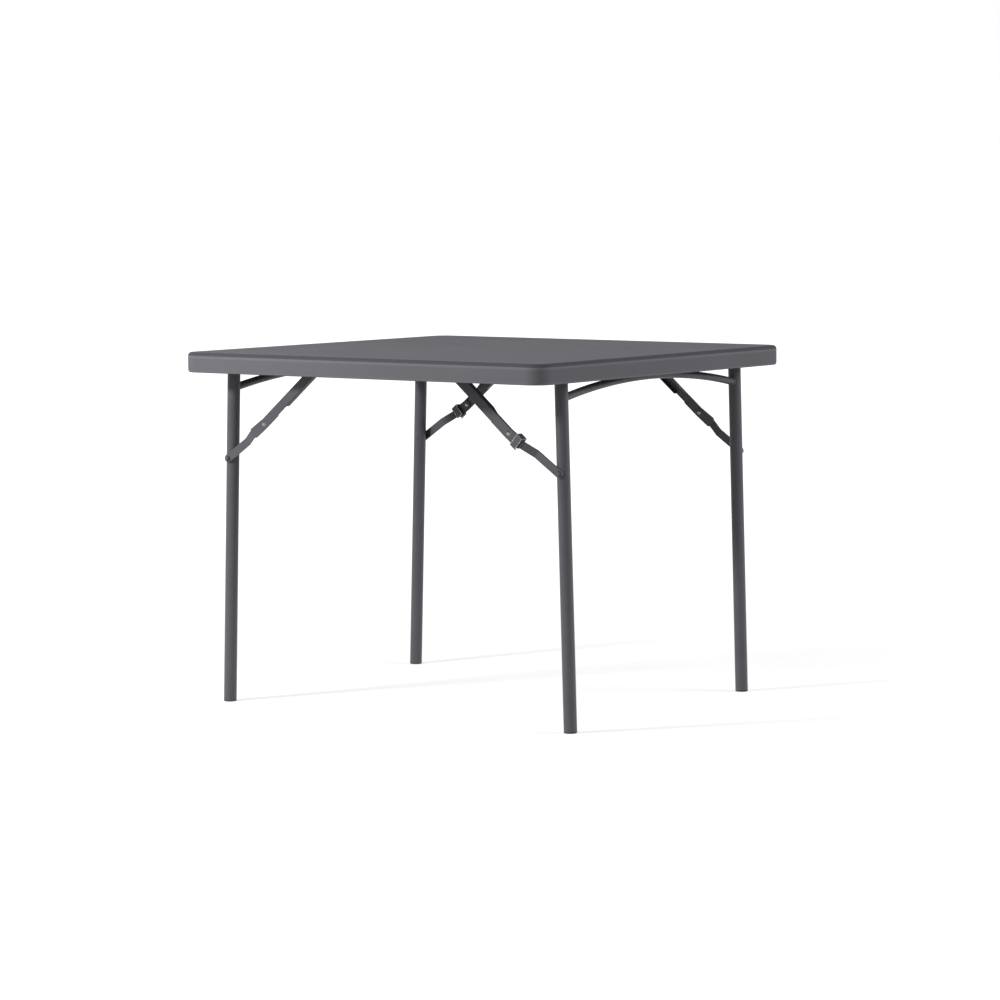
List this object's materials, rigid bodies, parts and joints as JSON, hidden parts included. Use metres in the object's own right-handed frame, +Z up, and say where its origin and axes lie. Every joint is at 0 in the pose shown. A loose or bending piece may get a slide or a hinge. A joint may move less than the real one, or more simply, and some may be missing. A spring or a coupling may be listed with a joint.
{
  "type": "folding card table",
  "caption": "Square table with a rounded moulded top, two splayed tubular leg frames with arched cross tubes, and folding two-link braces with sliding lock rings.",
  "frame": {"origin": "on the floor under the middle of the top", "axes": "+Z up, X from the left leg frame to the right one, Y from the front corner's row of legs to the back row"},
  "size_m": [0.914, 0.914, 0.743],
  "materials": {
    "top_plastic": "fine matt grain",
    "frame_paint": "satin powder coat",
    "zinc_steel": "bright zinc plate",
    "ring_steel": "dull zinc plate",
    "foot_plastic": "matt"
  },
  "bodies": {
    "tabletop": {"tabletop": "top_plastic", "pivot_bolts": "zinc_steel", "anchor_rivets": "zinc_steel", "pivot_bracket_left_front": "frame_paint", "pivot_bracket_left_back": "frame_paint", "pivot_bracket_right_front": "frame_paint", "pivot_bracket_right_back": "frame_paint", "anchor_bracket_left_front": "frame_paint", "anchor_bracket_left_back": "frame_paint", "anchor_bracket_right_front": "frame_paint", "anchor_bracket_right_back": "frame_paint"},
    "leg_frame_left": {"leg_tube_left_front": "frame_paint", "leg_tube_left_back": "frame_paint", "arch_tube_left": "frame_paint", "leg_bolts_left": "frame_paint", "foot_cap_left_front": "foot_plastic", "foot_cap_left_back": "foot_plastic"},
    "leg_frame_right": {"leg_tube_right_front": "frame_paint", "leg_tube_right_back": "frame_paint", "arch_tube_right": "frame_paint", "leg_bolts_right": "frame_paint", "foot_cap_right_front": "foot_plastic", "foot_cap_right_back": "foot_plastic"},
    "brace_upper_left_front": {"upper_link_left_front": "frame_paint", "elbow_rivet_left_front": "zinc_steel"},
    "brace_lower_left_front": {"lower_link_left_front": "frame_paint", "strap_bolt_left_front": "frame_paint"},
    "brace_upper_left_back": {"upper_link_left_back": "frame_paint", "elbow_rivet_left_back": "zinc_steel"},
    "brace_lower_left_back": {"lower_link_left_back": "frame_paint", "strap_bolt_left_back": "frame_paint"},
    "brace_upper_right_front": {"upper_link_right_front": "frame_paint", "elbow_rivet_right_front": "zinc_steel"},
    "brace_lower_right_front": {"lower_link_right_front": "frame_paint", "strap_bolt_right_front": "frame_paint"},
    "brace_upper_right_back": {"upper_link_right_back": "frame_paint", "elbow_rivet_right_back": "zinc_steel"},
    "brace_lower_right_back": {"lower_link_right_back": "frame_paint", "strap_bolt_right_back": "frame_paint"},
    "lock_ring_left_back": {"lock_ring_left_back": "ring_steel"},
    "lock_ring_right_front": {"lock_ring_right_front": "ring_steel"}
  },
  "joints": [
    {"name": "fold_left", "type": "hinge", "parent": "tabletop", "child": "leg_frame_left", "pos_m": [-0.3932, 0, 0.714], "axis": [0, -1, 0], "range_deg": [0, 91.71]},
    {"name": "fold_right", "type": "hinge", "parent": "tabletop", "child": "leg_frame_right", "pos_m": [0.3932, 0, 0.714], "axis": [0, 1, 0], "range_deg": [0, 91.71]},
    {"name": "anchor_turn_left_front", "type": "hinge", "parent": "tabletop", "child": "brace_upper_left_front", "pos_m": [-0.1485, -0.36, 0.714], "axis": [0, -1, 0], "range_deg": [-40.52, 0]},
    {"name": "elbow_turn_left_front", "type": "hinge", "parent": "brace_upper_left_front", "child": "brace_lower_left_front", "pos_m": [-0.28804, -0.36, 0.59477], "axis": [0, -1, 0], "range_deg": [0, 185.82]},
    {"name": "anchor_turn_left_back", "type": "hinge", "parent": "tabletop", "child": "brace_upper_left_back", "pos_m": [-0.1485, 0.296, 0.714], "axis": [0, -1, 0], "range_deg": [-40.52, 0]},
    {"name": "elbow_turn_left_back", "type": "hinge", "parent": "brace_upper_left_back", "child": "brace_lower_left_back", "pos_m": [-0.28804, 0.296, 0.59477], "axis": [0, -1, 0], "range_deg": [0, 185.82]},
    {"name": "anchor_turn_right_front", "type": "hinge", "parent": "tabletop", "child": "brace_upper_right_front", "pos_m": [0.1485, -0.296, 0.714], "axis": [0, 1, 0], "range_deg": [-40.52, 0]},
    {"name": "elbow_turn_right_front", "type": "hinge", "parent": "brace_upper_right_front", "child": "brace_lower_right_front", "pos_m": [0.28804, -0.296, 0.59477], "axis": [0, 1, 0], "range_deg": [0, 185.82]},
    {"name": "anchor_turn_right_back", "type": "hinge", "parent": "tabletop", "child": "brace_upper_right_back", "pos_m": [0.1485, 0.36, 0.714], "axis": [0, 1, 0], "range_deg": [-40.52, 0]},
    {"name": "elbow_turn_right_back", "type": "hinge", "parent": "brace_upper_right_back", "child": "brace_lower_right_back", "pos_m": [0.28804, 0.36, 0.59477], "axis": [0, 1, 0], "range_deg": [0, 185.82]},
    {"name": "ring_slide_left_back", "type": "slide", "parent": "brace_upper_left_back", "child": "lock_ring_left_back", "axis": [0.7603, 0, 0.6496], "range_m": [0, 0.11]},
    {"name": "ring_slide_right_front", "type": "slide", "parent": "brace_upper_right_front", "child": "lock_ring_right_front", "axis": [-0.7603, 0, 0.6496], "range_m": [0, 0.11]}
  ],
  "couplings": [
    {"joint": "anchor_turn_left_front", "follows": "fold_left", "ratio": -0.44176},
    {"joint": "elbow_turn_left_front", "follows": "fold_left", "ratio": 2.0261},
    {"joint": "anchor_turn_left_back", "follows": "fold_left", "ratio": -0.44176},
    {"joint": "elbow_turn_left_back", "follows": "fold_left", "ratio": 2.0261},
    {"joint": "anchor_turn_right_front", "follows": "fold_right", "ratio": -0.44176},
    {"joint": "elbow_turn_right_front", "follows": "fold_right", "ratio": 2.0261},
    {"joint": "anchor_turn_right_back", "follows": "fold_right", "ratio": -0.44176},
    {"joint": "elbow_turn_right_back", "follows": "fold_right", "ratio": 2.0261}
  ]
}
